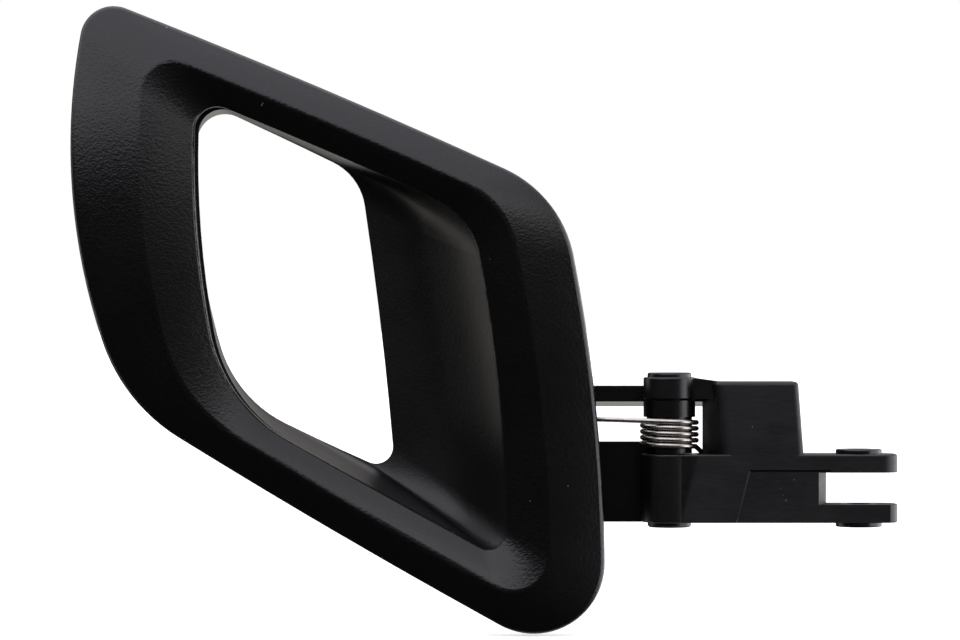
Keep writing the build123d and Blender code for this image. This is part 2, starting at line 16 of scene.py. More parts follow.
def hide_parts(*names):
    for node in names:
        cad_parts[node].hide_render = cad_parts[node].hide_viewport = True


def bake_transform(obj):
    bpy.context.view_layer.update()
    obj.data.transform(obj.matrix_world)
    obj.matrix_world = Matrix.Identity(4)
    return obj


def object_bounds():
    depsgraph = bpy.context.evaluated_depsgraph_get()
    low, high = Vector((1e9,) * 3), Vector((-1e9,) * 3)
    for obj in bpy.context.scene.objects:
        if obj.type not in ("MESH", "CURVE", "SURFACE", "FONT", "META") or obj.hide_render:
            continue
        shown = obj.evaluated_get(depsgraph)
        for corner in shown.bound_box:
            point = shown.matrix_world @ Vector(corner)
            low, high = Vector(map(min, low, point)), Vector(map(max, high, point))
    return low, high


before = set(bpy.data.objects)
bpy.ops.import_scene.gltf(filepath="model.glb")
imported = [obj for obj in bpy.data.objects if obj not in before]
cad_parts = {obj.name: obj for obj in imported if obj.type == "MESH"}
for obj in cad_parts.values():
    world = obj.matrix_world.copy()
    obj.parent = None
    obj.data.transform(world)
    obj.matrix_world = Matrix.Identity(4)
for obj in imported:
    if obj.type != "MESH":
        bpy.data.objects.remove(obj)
cad_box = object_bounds()

log = logging.getLogger("pull_handle")

Colour = tuple[float, float, float]
Point = tuple[float, float, float]
Span = tuple[float, float]
Socket = bpy.types.NodeSocket
Sockets = bpy.types.bpy_prop_collection
Number = float | Socket

HINGE_X = -0.0445

WHITE: Colour = (1.0, 1.0, 1.0)
EVEN: Point = (1.0, 1.0, 1.0)
WITHOUT_Y: Point = (1.0, 0.0, 1.0)
RISE: Span = (0.0, 1.0)
FADE: Span = (1.0, 0.0)

# The levels between which soft noise mostly lies, and those of the tops of the grain.
CLOUD_LEVELS: Span = (0.3, 0.7)
GRAIN_TOPS: Span = (0.5, 1.0)
PLASTIC_IOR = 1.5

# How far from the hinge pin the gloss changes: leftwards on the base, rightwards on the lever.
BASE_GLOSS_EDGE = 0.024
LEVER_GLOSS_EDGE = 0.0045


class Body(Enum):
    """The two rigid groups that the hinge pin joins."""

    LEVER = "lever"
    HANDLE = "handle"


class Axis(Enum):
    """An axis of the part's frame."""

    X = "X"
    Y = "Y"
    Z = "Z"


class NodeBench:
    """A node tree with short ways to add and join its nodes."""

    def __init__(self, tree: bpy.types.NodeTree) -> None:
        """Start from an empty tree.

        Args:
            tree: the tree of a material or of the world.
        """
        self.tree = tree
        tree.nodes.clear()

    def add(self, kind: str, inputs: dict | None = None, **settings: object) -> bpy.types.Node:
        """Add a node.

        Args:
            kind: the node's type name, after "ShaderNode".
            inputs: values or sockets for its inputs, by input name or index.
            settings: values for its own properties.

        Returns:
            The new node.
        """
        node = self.tree.nodes.new("ShaderNode" + kind)
        for name, value in settings.items():
            setattr(node, name, value)
        for key, value in (inputs or {}).items():
            self.feed(node.inputs[key], value)
        return node

    def feed(self, socket: Socket, value: object) -> None:
        """Set an input, or join another node's output to it.

        Args:
            socket: the input.
            value: a number, a list of numbers or an output socket.
        """
        if isinstance(value, Socket):
            self.tree.links.new(value, socket)
        else:
            socket.default_value = value

    def maths(self, operation: str, first: Number, second: Number) -> Socket:
        """The result of a sum on two numbers or sockets."""
        return self.add("Math", {0: first, 1: second}, operation=operation).outputs[0]

    def total(self, parts: list[Socket]) -> Socket:
        """Add up several numbers.

        Args:
            parts: the numbers, of which there is at least one.

        Returns:
            Their total.
        """
        result = parts[0]
        for part in parts[1:]:
            result = self.maths("ADD", result, part)
        return result

    def ramp(self, value: Number, change: Span, ends: Span = RISE) -> Socket:
        """Carry a value smoothly from one range to another.

        Args:
            value: the number or socket to carry.
            change: where the change starts and where it ends.
            ends: the result before the change and after it.

        Returns:
            The carried value.
        """
        inputs = {
            "Value": value,
            "From Min": change[0],
            "From Max": change[1],
            "To Min": ends[0],
            "To Max": ends[1],
        }
        return self.add("MapRange", inputs, interpolation_type="SMOOTHSTEP").outputs["Result"]

    def spot(self) -> Socket:
        """The piece's own coordinates in metres."""
        return self.add("TexCoord").outputs["Object"]

    def place(self, stretch: Point = EVEN) -> Socket:
        """The piece's own coordinates in metres, stretched along each axis."""
        return self.add("Mapping", {"Vector": self.spot(), "Scale": stretch}).outputs["Vector"]

    def along(self, axis: Axis) -> Socket:
        """The piece's own coordinate along one axis, in metres."""
        return self.add("SeparateXYZ", {0: self.spot()}).outputs[axis.value]

    def noise(self, spot: Socket, size: float, detail: float = 2.0) -> Socket:
        """Soft noise whose lumps are about one size across, in metres."""
        inputs = {"Vector": spot, "Scale": 1.0 / size, "Detail": detail}
        return self.add("TexNoise", inputs).outputs["Fac"]

    def bump(self, height: Socket, depth: float = 1.0) -> Socket:
        """The normal of a surface whose height is given as a share of a depth in metres."""
        inputs = {"Height": height, "Strength": 1.0, "Distance": depth}
        return self.add("Bump", inputs).outputs["Normal"]

    def blend(self, share: Socket, first: Socket, second: Socket) -> Socket:
        """A number between two others."""
        return self.add("Mix", {0: share, 2: first, 3: second}, data_type="FLOAT").outputs[0]

    def blend_colour(self, share: Socket, first: Colour | Socket, second: Colour) -> Socket:
        """Mix two colours.

        Args:
            share: how much of the second there is, from 0 to 1.
            first: a colour, or the socket that gives it.
            second: the other colour.

        Returns:
            The mixed colour.
        """
        mix = self.add("Mix", data_type="RGBA")
        self.feed(mix.inputs["Factor"], share)
        self.feed(mix.inputs["A"], (*first, 1.0) if isinstance(first, tuple) else first)
        self.feed(mix.inputs["B"], (*second, 1.0))
        return mix.outputs["Result"]

    def background(self, tint: Colour, strength: Number) -> Socket:
        """Light of one colour from every direction, as strong as a number or socket says."""
        return self.add("Background", {"Color": (*tint, 1.0), "Strength": strength}).outputs[0]


def new_material(name: str) -> tuple[bpy.types.Material, NodeBench]:
    """Make a material that has no nodes yet.

    Args:
        name: its name.

    Returns:
        The material and its nodes.
    """
    material = bpy.data.materials.new(name)
    material.use_nodes = True
    return material, NodeBench(material.node_tree)


def link_object(name: str, data: bpy.types.ID) -> bpy.types.Object:
    """Make an object in the scene.

    Args:
        name: its name.
        data: its mesh, camera or lamp.

    Returns:
        The object.
    """
    item = bpy.data.objects.new(name, data)
    bpy.context.scene.collection.objects.link(item)
    return item


@dataclass(frozen=True)
class Lean:
    """A gentle lean of a moulded face, which grows and fades along a line.

    Attributes:
        along: how much X, Y and Z count in the distance along the line.
        levels: the distances at which the lean is given.
        slopes: the lean at each, as a rise per metre. It is 0 at the first, and stays as it is
            past the last.
    """

    along: Point
    levels: tuple[float, ...]
    slopes: tuple[float, ...]

    def height(self, bench: NodeBench) -> Socket:
        """The height that the lean adds, in metres.

        Args:
            bench: the material's nodes.

        Returns:
            The height.
        """
        dot = bench.add("VectorMath", {0: bench.spot(), 1: self.along}, operation="DOT_PRODUCT")
        steps = zip(self.slopes, self.slopes[1:], self.levels, self.levels[1:])
        rates = [(after - before) / (end - start) for before, after, start, end in steps]
        parts = []
        for level, before, after in zip(self.levels, (0.0, *rates), (*rates, 0.0)):
            past = bench.maths("SUBTRACT", dot.outputs["Value"], level)
            past = bench.maths("MAXIMUM", past, 0.0)
            square = bench.maths("MULTIPLY", past, past)
            parts.append(bench.maths("MULTIPLY", square, 0.5 * (after - before)))
        return bench.total(parts)


@dataclass(frozen=True)
class Gloss:
    """Gloss that comes and goes in soft clouds.

    Attributes:
        lowest: the lowest roughness.
        highest: the highest roughness.
        cloud: the size of the clouds.
        stretch: how the clouds are squeezed along each axis.
        detail: how fine the clouds get.
    """

    lowest: float
    highest: float
    cloud: float = 0.018
    stretch: Point = EVEN
    detail: float = 3.0

    @classmethod
    def streaked(cls, lowest: float, highest: float) -> "Gloss":
        """Gloss in small clouds that are drawn out along X."""
        return cls(lowest, highest, cloud=0.009, stretch=(0.5, 1.0, 1.5), detail=4.0)

    def roughness(self, bench: NodeBench) -> Socket:
        """The roughness at each spot."""
        cloud = bench.noise(bench.place(self.stretch), self.cloud, self.detail)
        return bench.ramp(cloud, CLOUD_LEVELS, (self.lowest, self.highest))


@dataclass(frozen=True)
class Grain:
    """A moulded grain: soft cells, bent by noise and broken up by finer noise.

    Attributes:
        size: the size of the cells.
        relief: the grain's depth.
        stretch: how the cells are squeezed along each axis.
        sway: how far the cells are bent, as a share of their size.
        sway_size: how large the bends are, as a share of the cells' size.
        sway_detail: how fine the bends get.
        fine_size: the size of the finer noise, as a share of the cells' size.
        fine_detail: how fine that noise gets.
        fine_share: how strongly it shows.
    """

    size: float
    relief: float
    stretch: Point = EVEN
    sway: float = 1.6
    sway_size: float = 2.0
    sway_detail: float = 1.0
    fine_size: float = 0.45
    fine_detail: float = 3.0
    fine_share: float = 0.7

    def height(self, bench: NodeBench) -> Socket:
        """The grain's height, as a share of its relief.

        Args:
            bench: the material's nodes.

        Returns:
            The height.
        """
        spot = bench.place(self.stretch)
        scale = 1.0 / (self.size * self.sway_size)
        inputs = {"Vector": spot, "Scale": scale, "Detail": self.sway_detail}
        bends = bench.add("TexNoise", inputs).outputs["Color"]
        inputs = {0: bends, "Scale": self.size * self.sway}
        shift = bench.add("VectorMath", inputs, operation="SCALE").outputs[0]
        bent = bench.add("VectorMath", {0: spot, 1: shift}, operation="ADD").outputs[0]
        cells = bench.add("TexVoronoi", {"Vector": bent, "Scale": 1.0 / self.size})
        fine = bench.noise(spot, self.size * self.fine_size, self.fine_detail)
        fine = bench.maths("MULTIPLY", fine, self.fine_share)
        return bench.maths("ADD", cells.outputs["Distance"], fine)


@dataclass(frozen=True)
class Specks:
    """Sparse specks of dust.

    Attributes:
        count: how many there are along a metre.
        size: how large they are, as a share of their spacing.
        core: how much of a speck is fully pale, as a share of its size.
    """

    count: float = 95.0
    size: float = 0.012
    core: float = 0.6

    def mask(self, bench: NodeBench) -> Socket:
        """1 inside a speck and 0 elsewhere."""
        cells = bench.add("TexVoronoi", {"Vector": bench.place(), "Scale": self.count})
        return bench.ramp(cells.outputs["Distance"], (self.size * self.core, self.size), FADE)


@dataclass(frozen=True)
class Fleck:
    """A single pale fleck of ragged outline.

    Attributes:
        x: where it is along X.
        z: where it is along Z.
        radius: its radius.
        reach: where it has faded out, as a share of the radius.
    """

    x: float
    z: float
    radius: float
    reach: float = 1.5

    def mask(self, bench: NodeBench) -> Socket:
        """1 inside the fleck and 0 elsewhere.

        Args:
            bench: the material's nodes.

        Returns:
            The mask.
        """
        inputs = {0: bench.place(WITHOUT_Y), 1: (self.x, 0.0, self.z)}
        apart = bench.add("VectorMath", inputs, operation="DISTANCE").outputs["Value"]
        ragged = bench.maths("MULTIPLY", bench.noise(bench.place(), self.radius), self.radius)
        far = bench.maths("ADD", apart, ragged)
        return bench.ramp(far, (self.radius, self.radius * self.reach), FADE)


@dataclass(frozen=True)
class Scratches:
    """Thin, broken, slanting lines that come and go.

    Attributes:
        strength: how strongly they show, from 0 to 1.
        turn: how they are turned about each axis, in radians.
        squeeze: how noise is squeezed along each axis to draw it out into lines.
        size: the size of that noise before it is squeezed.
        detail: how fine it gets.
        line: the levels of the noise between which a scratch comes up.
        patch_size: the size of the patches that the scratches lie in.
        patch: the levels of noise between which a patch comes up.
    """

    strength: float
    turn: Point = (0.3, 0.9, 0.2)
    squeeze: Point = (1.0, 6.0, 14.0)
    size: float = 0.004
    detail: float = 6.0
    line: Span = (0.66, 0.72)
    patch_size: float = 0.012
    patch: Span = (0.5, 0.7)

    def mask(self, bench: NodeBench) -> Socket:
        """The scratches' strength on them and 0 elsewhere.

        Args:
            bench: the material's nodes.

        Returns:
            The mask.
        """
        inputs = {"Vector": bench.place(), "Rotation": self.turn, "Scale": self.squeeze}
        spot = bench.add("Mapping", inputs).outputs["Vector"]
        thin = bench.ramp(bench.noise(spot, self.size, self.detail), self.line)
        patches = bench.ramp(bench.noise(bench.place(), self.patch_size), self.patch)
        return bench.maths("MULTIPLY", bench.maths("MULTIPLY", thin, patches), self.strength)


@dataclass(frozen=True, kw_only=True)
class MouldedPlastic:
    """Black moulded plastic with a grain, uneven gloss, specks of dust and fine scratches.

    Attributes:
        name: the material's name.
        colour: the plastic's own colour.
        worn: the colour on the tops of the grain.
        pale: the colour where it is rubbed or dusty.
        gloss: its gloss.
        grain: its grain.
        lean: how the face leans, if it does.
        specks: the dust on it.
        scratches: the scratches in it, if there are any.
        flecks: single pale flecks.
    """

    name: str
    colour: Colour
    worn: Colour
    pale: Colour
    gloss: Gloss
    grain: Grain
    lean: Lean | None = None
    specks: Specks = Specks()
    scratches: Scratches | None = None
    flecks: tuple[Fleck, ...] = ()

    def height(self, bench: NodeBench, grain: Socket) -> Socket:
        """The surface's height in metres: the grain, on a leaning face where there is one."""
        grain = bench.maths("MULTIPLY", grain, self.grain.relief)
        return bench.maths("ADD", grain, self.lean.height(bench)) if self.lean else grain

    def roughness(self, bench: NodeBench) -> Socket:
        """The roughness at each spot."""
        return self.gloss.roughness(bench)

    def marks(self, bench: NodeBench) -> Socket:
        """1 on a speck or fleck, less on a scratch, and 0 elsewhere.

        Args:
            bench: the material's nodes.

        Returns:
            The mask.
        """
        mask = self.specks.mask(bench)
        scratches = (self.scratches,) if self.scratches else ()
        for mark in (*scratches, *self.flecks):
            mask = bench.maths("MAXIMUM", mask, mark.mask(bench))
        return mask

    def make(self) -> bpy.types.Material:
        """Build the material.

        Returns:
            The finished material.
        """
        material, bench = new_material(self.name)
        marks = self.marks(bench)
        grain = self.grain.height(bench)
        tone = bench.blend_colour(bench.ramp(grain, GRAIN_TOPS), self.colour, self.worn)
        shader = bench.add(
            "BsdfPrincipled",
            {
                "Base Color": bench.blend_colour(marks, tone, self.pale),
                "Roughness": self.roughness(bench),
                "Normal": bench.bump(self.height(bench, grain)),
                "IOR": PLASTIC_IOR,
            },
        )
        bench.add("OutputMaterial", {"Surface": shader.outputs[0]})
        return material


@dataclass(frozen=True, kw_only=True)
class SplitPlastic(MouldedPlastic):
    """Plastic whose gloss changes at an edge, as from a round boss to the flat faces beyond it.

    Attributes:
        far_gloss: the gloss past the edge.
        edge: where the edge is along X, at the height of the fork's bore.
        slant: how far the edge moves along X for each metre upwards.
        soft: half the width of the change.
    """

    far_gloss: Gloss
    edge: float
    slant: float = 0.0
    soft: float = 0.0008

    def roughness(self, bench: NodeBench) -> Socket:
        """The near gloss, turning into the far one at the edge.

        Args:
            bench: the material's nodes.

        Returns:
            The roughness.
        """
        past = bench.maths("SUBTRACT", bench.along(Axis.X), self.edge)
        shift = bench.maths("MULTIPLY", bench.along(Axis.Z), self.slant)
        past = bench.maths("SUBTRACT", past, shift)
        share = bench.ramp(past, (-self.soft, self.soft))
        return bench.blend(share, self.gloss.roughness(bench), self.far_gloss.roughness(bench))


@dataclass(frozen=True, kw_only=True)
class DrawnSteel:
    """Bare steel with fine drawing lines and a thin film.

    Attributes:
        name: the material's name.
        colour: the bright metal.
        film: the metal under its film.
        gloss: the lowest and highest roughness.
        lines: the size of the drawing lines.
        relief: the lines' depth.
        drawn: how the lines are drawn out along each axis.
        cloud: the size of the film's clouds.
        detail: how fine the lines and the clouds get.
    """

    name: str
    colour: Colour
    film: Colour
    gloss: Span
    lines: float
    relief: float
    drawn: Point = (0.08, 0.08, 1.0)
    cloud: float = 0.0016
    detail: float = 3.0

    def make(self) -> bpy.types.Material:
        """Build the material.

        Returns:
            The finished material.
        """
        material, bench = new_material(self.name)
        lines = bench.noise(bench.place(self.drawn), self.lines, self.detail)
        cloud = bench.noise(bench.place(), self.cloud, self.detail)
        shader = bench.add(
            "BsdfPrincipled",
            {
                "Base Color": bench.blend_colour(cloud, self.colour, self.film),
                "Roughness": bench.ramp(cloud, CLOUD_LEVELS, self.gloss),
                "Metallic": 1.0,
                "Normal": bench.bump(lines, self.relief),
            },
        )
        bench.add("OutputMaterial", {"Surface": shader.outputs[0]})
        return material


class Finishes:
    """Every finish on the handle."""

    cover = MouldedPlastic(
        name="grained_black_cover",
        colour=(0.0004, 0.0004, 0.0005),
        worn=(0.0022, 0.0022, 0.0026),
        pale=(0.16, 0.16, 0.17),
        gloss=Gloss(0.24, 0.28),
        grain=Grain(size=0.0007, relief=0.000034, stretch=(0.8, 1.0, 1.1)),
        lean=Lean(
            along=(0.0, 0.0, 1.0),
            levels=(-0.015, 0.005, 0.04, 0.0625, 0.0905),
            slopes=(0.0, 0.07, 0.07, 0.0, -0.165),
        ),
        flecks=(
            Fleck(-0.1393, 0.0890, 0.00022),
            Fleck(-0.1391, 0.0894, 0.00018),
            Fleck(-0.0929, 0.0000, 0.0002),
            Fleck(-0.0775, -0.0023, 0.00018),
            Fleck(-0.0687, 0.0012, 0.00018),
            Fleck(-0.1614, 0.1070, 0.00025),
        ),
    )
    base = SplitPlastic(
        name="satin_black_base",
        colour=(0.0004, 0.0004, 0.0004),
        worn=(0.0018, 0.0017, 0.0016),
        pale=(0.15, 0.15, 0.14),
        gloss=Gloss(0.33, 0.38),
        grain=Grain(size=0.0007, relief=0.000018),
        lean=Lean(
            along=(1.0, 0.0, 0.16),
            levels=(-0.0994, -0.0924, -0.0814),
            slopes=(0.0, 0.17, 0.0),
        ),
        far_gloss=Gloss.streaked(0.24, 0.28),
        edge=HINGE_X - BASE_GLOSS_EDGE,
        soft=0.003,
    )
    lever = SplitPlastic(
        name="satin_black_lever",
        colour=(0.0016, 0.0016, 0.002),
        worn=(0.005, 0.005, 0.0055),
        pale=(0.12, 0.12, 0.125),
        gloss=Gloss(0.26, 0.3),
        grain=Grain(size=0.0006, relief=0.00001, stretch=(0.2, 1.0, 1.0)),
        scratches=Scratches(strength=0.25),
        flecks=(
            Fleck(-0.0175, -0.0027, 0.00025),
            Fleck(-0.0182, -0.0015, 0.00014),
            Fleck(-0.0188, 0.0, 0.00014),
            Fleck(-0.0194, 0.0018, 0.00012),
            Fleck(-0.0254, 0.0145, 0.0002),
            Fleck(-0.0156, 0.0021, 0.00018),
        ),
        far_gloss=Gloss.streaked(0.4, 0.52),
        edge=HINGE_X + LEVER_GLOSS_EDGE,
        slant=0.26,
    )
    pin = MouldedPlastic(
        name="black_pin",
        colour=(0.0016, 0.0016, 0.0018),
        worn=(0.004, 0.004, 0.0042),
        pale=(0.1, 0.1, 0.1),
        gloss=Gloss(0.28, 0.36),
        grain=Grain(size=0.0006, relief=0.00001),
    )
    bush = MouldedPlastic(
        name="smooth_black_bush",
        colour=(0.0016, 0.0016, 0.0018),
        worn=(0.004, 0.004, 0.0042),
        pale=(0.1, 0.1, 0.1),
        gloss=Gloss(0.2, 0.28),
        grain=Grain(size=0.0008, relief=0.000006),
    )
    spring = DrawnSteel(
        name="drawn_spring_steel",
        colour=(0.6, 0.575, 0.54),
        film=(0.42, 0.385, 0.34),
        gloss=(0.2, 0.32),
        lines=0.00008,
        relief=0.000004,
    )
    screw = DrawnSteel(
        name="plated_screw_steel",
        colour=(0.62, 0.62, 0.6),
        film=(0.45, 0.45, 0.43),
        gloss=(0.25, 0.38),
        lines=0.0001,
        relief=0.000005,
    )


def dress(node: str, material: bpy.types.Material) -> None:
    """Give a carried-over CAD node its material.

    Args:
        node: the node's name.
        material: its material.
    """
    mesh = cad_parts[node].data
    mesh.materials.clear()
    mesh.materials.append(material)
    log.info("dressed %s in %s", node, material.name)


@dataclass
class Loop:
    """The pull loop: grained cover in front, satin base behind, and the screws that hold them."""

    cover: str = "handle_cover"
    base: str = "handle_base"
    screws: str = "cover_screws"

    def build(self) -> None:
        """Dress the loop's pieces."""
        dress(self.cover, Finishes.cover.make())
        dress(self.base, Finishes.base.make())
        dress(self.screws, Finishes.screw.make())


@dataclass
class Hinge:
    """The forked lever with its hinge pin, cap and bushes."""

    lever: str = "hinge_lever"
    pins: tuple[str, ...] = ("hinge_pin", "pin_cap")
    bushes: tuple[str, ...] = ("clevis_bush_upper", "clevis_bush_lower")

    def build(self) -> None:
        """Dress the hinge's pieces."""
        dress(self.lever, Finishes.lever.make())
        pin = Finishes.pin.make()
        for node in self.pins:
            dress(node, pin)
        bush = Finishes.bush.make()
        for node in self.bushes:
            dress(node, bush)


@dataclass
class ReturnSpring:
    """The torsion spring: a leg behind the loop, a left-handed coil and a tail in the lever.

    Attributes:
        wire: the wire's radius.
        coil: the radius at the middle of the wire.
        pitch: the rise of a turn.
        turns: how many turns the coil has.
        top: the height of the coil's upper end.
        leg: the length of the leg.
        tail: the length of the tail.
        tail_drop: how far the tail falls.
        chamfer: the chamfer at each end of the wire.
        chamfer_steps: how many steps round the chamfer off.
        merge: how close two points have to be to become one.
        sides: how many sides the wire's section has.
        steps: how many steps each turn has.
    """

    wire: float = 0.0006
    coil: float = 0.00635
    pitch: float = 0.0014
    turns: float = 4.2
    top: float = 0.0157
    leg: float = 0.025
    tail: float = 0.0064
    tail_drop: float = 0.0017
    chamfer: float = 0.00018
    chamfer_steps: int = 2
    merge: float = 1e-7
    sides: int = 20
    steps: int = 72

    def mesh(self) -> bpy.types.Mesh:
        """Draw the wire from the leg's free end, round the coil and along the tail.

        Returns:
            The wire's closed mesh.
        """
        bm = bmesh.new()
        corner = Vector((HINGE_X, -self.coil, self.top))
        climb = self.leg * self.pitch / (2.0 * math.pi * self.coil)
        free_end = corner + Vector((-self.leg, 0.0, climb))
        stand = Matrix.Translation(free_end) @ Matrix.Rotation(math.pi / 2.0, 4, "Y")
        bmesh.ops.create_circle(
            bm, cap_ends=False, radius=self.wire, segments=self.sides, matrix=stand
        )
        start = list(bm.edges)
        loop = self.draw(bm, start, corner - free_end)
        loop = self.wind(bm, loop)
        turn = 2.0 * math.pi * (self.turns % 1.0) - math.pi / 2.0
        along = Vector((-math.sin(turn), math.cos(turn), 0.0)) * self.tail
        loop = self.draw(bm, loop, along - Vector((0.0, 0.0, self.tail_drop)))
        for end in (start, loop):
            self.close(bm, end)
        bmesh.ops.remove_doubles(bm, verts=bm.verts, dist=self.merge)
        bmesh.ops.recalc_face_normals(bm, faces=bm.faces)
        mesh = bpy.data.meshes.new("return_spring_wire")
        bm.to_mesh(mesh)
        bm.free()
        mesh.shade_smooth()
        return mesh

    @staticmethod
    def draw(bm: bmesh.types.BMesh, loop: list, along: Vector) -> list:
        """Draw a ring of edges out along a line.

        Args:
            bm: the wire so far.
            loop: the ring of edges.
            along: how far and which way it goes.

        Returns:
            The ring at the far end.
        """
        grown = bmesh.ops.extrude_edge_only(bm, edges=loop)["geom"]
        verts = [item for item in grown if isinstance(item, bmesh.types.BMVert)]
        bmesh.ops.translate(bm, verts=verts, vec=along)
        edges = [item for item in grown if isinstance(item, bmesh.types.BMEdge)]
        return [edge for edge in edges if edge.is_boundary]

    def wind(self, bm: bmesh.types.BMesh, loop: list) -> list:
        """Wind a ring of edges down round the hinge pin.

        Args:
            bm: the wire so far.
            loop: the ring of edges at the coil's upper end.

        Returns:
            The ring at the coil's lower end.
        """
        count = round(self.steps * self.turns)
        spun = bmesh.ops.spin(
            bm,
            geom=loop,
            cent=(HINGE_X, 0.0, 0.0),
            axis=(0.0, 0.0, 1.0),
            dvec=(0.0, 0.0, -self.pitch * self.turns / count),
            angle=2.0 * math.pi * self.turns,
            steps=count,
            use_merge=False,
        )
        return [item for item in spun["geom_last"] if isinstance(item, bmesh.types.BMEdge)]

    def close(self, bm: bmesh.types.BMesh, loop: list) -> None:
        """Close an end of the wire with a small chamfered face.

        Args:
            bm: the wire so far.
            loop: the ring of edges at the end.
        """
        made = bmesh.ops.contextual_create(bm, geom=loop)
        bmesh.ops.bevel(
            bm,
            geom=[edge for face in made["faces"] for edge in face.edges],
            offset=self.chamfer,
            affect="EDGES",
            segments=self.chamfer_steps,
            profile=0.5,
            material=-1,
            clamp_overlap=True,
        )

    def build(self) -> None:
        """Make the spring's wire in place of the CAD spring, and hide the CAD spring."""
        wire = link_object("return_spring_wire", self.mesh())
        wire.data.materials.append(Finishes.spring.make())
        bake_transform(wire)
        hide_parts("return_spring")
        log.info("made %s with %d faces", wire.name, len(wire.data.polygons))


@dataclass(frozen=True)
class Edges:
    """The soft edges of a light along one axis, per metre of distance.

    Attributes:
        axis: the axis they lie along.
        rise: where the light starts and where it is full.
        fall: where it starts to fade and where it ends.
    """

    axis: Axis
    rise: Span
    fall: Span

    def within(self, bench: NodeBench, value: Socket) -> Socket:
        """1 where the light is full, fading to 0 past its edges."""
        past = bench.ramp(value, self.rise)
        return bench.maths("MULTIPLY", past, bench.ramp(value, self.fall, FADE))


@dataclass(frozen=True, kw_only=True)
class Softbox:
    """A far-off rectangular light on one side of the object.

    Attributes:
        facing: the axis on whose positive side it stands.
        edges: its soft edges along the two other axes.
        strength: its brightness.
        tint: its colour.
        horizon: how far a direction turns to its side before the light starts and is full.
    """

    facing: Axis
    edges: tuple[Edges, Edges]
    strength: float
    tint: Colour
    horizon: Span = (0.02, 0.1)

    def glow(self, bench: NodeBench, way: Sockets) -> Socket:
        """Its light, by direction.

        Args:
            bench: the world's nodes.
            way: the X, Y and Z of the direction.

        Returns:
            The light.
        """
        facing = way[self.facing.value]
        ahead = bench.maths("MAXIMUM", facing, self.horizon[0])
        share = bench.ramp(facing, self.horizon, (0.0, self.strength))
        for edge in self.edges:
            place = bench.maths("DIVIDE", way[edge.axis.value], ahead)
            share = bench.maths("MULTIPLY", share, edge.within(bench, place))
        return bench.background(self.tint, share)


@dataclass(frozen=True)
class PaleTable:
    """The pale table round the object, as shiny faces mirror it, in a left and a right part.

    Attributes:
        left_across: the X of the directions between which the left part fades out.
        left_strength: how bright the left part is beside the right one.
        left_behind: the Y of the directions between which the left part comes up.
        right_across: the X between which the right part comes up.
        right_behind: the Y between which the right part comes up.
        height: the Z between which both parts change their brightness.
        strengths: the brightness below and above.
        tint: the table's colour.
    """

    left_across: Span = (-0.88, -0.72)
    left_strength: float = 1.6
    left_behind: Span = (-0.25, 0.2)
    right_across: Span = (-0.35, 0.0)
    right_behind: Span = (0.0, 0.22)
    height: Span = (-0.3, 0.35)
    strengths: Span = (0.75, 0.3)
    tint: Colour = (1.0, 0.96, 0.9)

    def glow(self, bench: NodeBench, way: Sockets, mirrored: Socket) -> Socket:
        """Its light, by direction.

        Args:
            bench: the world's nodes.
            way: the X, Y and Z of the direction.
            mirrored: 1 for a ray that a shiny face has mirrored, and 0 for others.

        Returns:
            The light.
        """
        left = bench.maths(
            "MULTIPLY",
            bench.ramp(way["X"], self.left_across, (self.left_strength, 0.0)),
            bench.ramp(way["Y"], self.left_behind),
        )
        right = bench.maths(
            "MULTIPLY",
            bench.ramp(way["X"], self.right_across),
            bench.ramp(way["Y"], self.right_behind),
        )
        share = bench.maths("MULTIPLY", bench.maths("ADD", left, right), mirrored)
        level = bench.ramp(way["Z"], self.height, self.strengths)
        return bench.background(self.tint, bench.maths("MULTIPLY", share, level))


@dataclass(frozen=True)
class StripLight:
    """A small strip light in front of the object, just above what the camera sees.

    Attributes:
        place: where it hangs.
        aim: the point that it faces.
        size: its width and height.
        power: its power in watts.
    """

    place: Point = (0.03, -0.25, 0.165)
    aim: Point = (-0.15, -0.015, 0.08)
    size: Span = (0.18, 0.07)
    power: float = 0.035

    def build(self) -> None:
        """Hang the light."""
        data = bpy.data.lights.new("front_strip", "AREA")
        data.shape = "RECTANGLE"
        data.size, data.size_y = self.size
        data.energy = self.power
        lamp = link_object("front_strip", data)
        lamp.location = self.place
        gaze = Vector(self.aim) - lamp.location
        lamp.rotation_euler = gaze.to_track_quat("-Z", "Y").to_euler()
        lamp.visible_camera = False


@dataclass(frozen=True)
class PaleFloor:
    """A wide pale floor just under the object.

    Attributes:
        reach: how far it goes to each side.
        gap: how far it lies under the object.
        paint: its colour for the camera.
        bounce: its colour for all other rays.
        lift: the light that it adds for the camera.
    """

    reach: float = 25.0
    gap: float = 0.0005
    paint: Colour = (0.8, 0.8, 0.8)
    bounce: Colour = (0.1, 0.1, 0.1)
    lift: float = 0.65

    def material(self) -> bpy.types.Material:
        """Build the floor's material.

        Returns:
            The material.
        """
        material, bench = new_material("pale_floor")
        seen = bench.add("LightPath").outputs["Is Camera Ray"]
        colour = bench.blend_colour(seen, self.bounce, self.paint)
        paint = bench.add("BsdfDiffuse", {"Color": colour})
        lift = bench.maths("MULTIPLY", seen, self.lift)
        glow = bench.add("Emission", {"Color": (*WHITE, 1.0), "Strength": lift})
        both = bench.add("AddShader", {0: paint.outputs[0], 1: glow.outputs[0]})
        bench.add("OutputMaterial", {"Surface": both.outputs[0]})
        return material

    def build(self) -> None:
        """Lay the floor."""
        bm = bmesh.new()
        bmesh.ops.create_grid(bm, x_segments=2, y_segments=2, size=self.reach)
        bmesh.ops.translate(bm, verts=bm.verts, vec=(0.0, 0.0, cad_box[0].z - self.gap))
        mesh = bpy.data.meshes.new("studio_floor")
        bm.to_mesh(mesh)
        bm.free()
        mesh.materials.append(self.material())
        floor = link_object("studio_floor", mesh)
        floor.visible_glossy = False


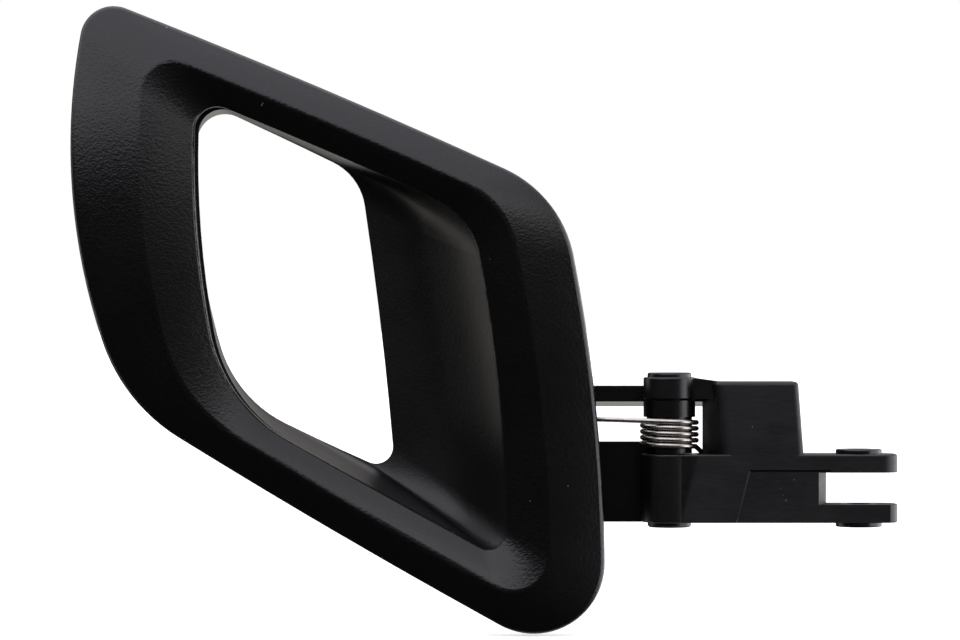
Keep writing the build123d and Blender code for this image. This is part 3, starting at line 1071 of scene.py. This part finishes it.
@dataclass(frozen=True)
class FrontCamera:
    """The camera, which stands level and straight in front of the loop.

    Attributes:
        eye: where it stands.
        lens: its focal length in millimetres.
        sensor: the width of its sensor in millimetres.
        clip: the nearest and farthest that it sees.
    """

    eye: Point = (-0.0890, -0.900, 0.03943)
    lens: float = 143.6
    sensor: float = 36.0
    clip: Span = (0.05, 60.0)

    def build(self) -> None:
        """Stand the camera up."""
        data = bpy.data.cameras.new("front_camera")
        data.lens = self.lens
        data.sensor_width = self.sensor
        data.clip_start, data.clip_end = self.clip
        camera = link_object("front_camera", data)
        camera.location = self.eye
        camera.rotation_euler = (math.pi / 2.0, 0.0, 0.0)
        bpy.context.scene.camera = camera


@dataclass(frozen=True)
class Surroundings:
    """The light from all round: far-off softboxes, the pale table and a faint even light.

    Attributes:
        overhead: the wide light above.
        side: the light on the right.
        fill: the weak light in front on the right.
        table: the table that shiny faces mirror.
        even: the strength of the even light.
        backdrop: how bright the white behind the object is for the camera.
    """

    overhead: Softbox = Softbox(
        facing=Axis.Z,
        edges=(
            Edges(Axis.X, (-3.6, -2.4), (-0.2, 2.2)),
            Edges(Axis.Y, (-3.7, -2.6), (0.6, 1.6)),
        ),
        strength=1.55,
        tint=(0.98, 0.96, 1.06),
    )
    side: Softbox = Softbox(
        facing=Axis.X,
        edges=(
            Edges(Axis.Y, (-1.05, -0.45), (1.0, 1.5)),
            Edges(Axis.Z, (-0.7, -0.3), (0.3, 0.8)),
        ),
        strength=2.4,
        tint=(0.98, 0.97, 1.04),
    )
    fill: Softbox = Softbox(
        facing=Axis.X,
        edges=(
            Edges(Axis.Y, (-5.0, -2.5), (-0.8, 0.2)),
            Edges(Axis.Z, (-1.8, -0.8), (1.0, 2.0)),
        ),
        strength=0.05,
        tint=WHITE,
    )
    table: PaleTable = PaleTable()
    even: float = 0.04
    backdrop: float = 1.0

    def build(self) -> None:
        """Light the object from all round, and show the camera plain white."""
        world = bpy.data.worlds.new("white_studio")
        world.use_nodes = True
        bpy.context.scene.world = world
        bench = NodeBench(world.node_tree)
        way = bench.add("SeparateXYZ", {0: bench.add("TexCoord").outputs["Generated"]}).outputs
        path = bench.add("LightPath").outputs
        mirrored = bench.maths("ADD", path["Is Glossy Ray"], path["Is Transmission Ray"])
        light = bench.background(WHITE, self.even)
        for box in (self.overhead, self.side, self.fill):
            light = bench.add("AddShader", {0: light, 1: box.glow(bench, way)}).outputs[0]
        table = self.table.glow(bench, way, mirrored)
        light = bench.add("AddShader", {0: light, 1: table}).outputs[0]
        plain = bench.background(WHITE, self.backdrop)
        seen = bench.add("MixShader", {0: path["Is Camera Ray"], 1: light, 2: plain})
        bench.add("OutputWorld", {"Surface": seen.outputs[0]})


@dataclass
class Studio:
    """The white studio: the camera, the light from all round, a front strip and a pale floor."""

    camera: FrontCamera = FrontCamera()
    surroundings: Surroundings = Surroundings()
    strip: StripLight = StripLight()
    floor: PaleFloor = PaleFloor()

    def build(self) -> None:
        """Set up the camera, the lights and the floor."""
        for fitting in (self.camera, self.surroundings, self.strip, self.floor):
            fitting.build()
        bpy.context.scene.view_settings.view_transform = "Standard"
        log.info("set up the studio")


def main() -> None:
    """Build the studio and every sub-assembly."""
    logging.basicConfig(level=logging.INFO, format="%(name)s: %(message)s")
    for assembly in (Studio(), Loop(), Hinge(), ReturnSpring()):
        assembly.build()


if __name__ == "__main__":
    main()
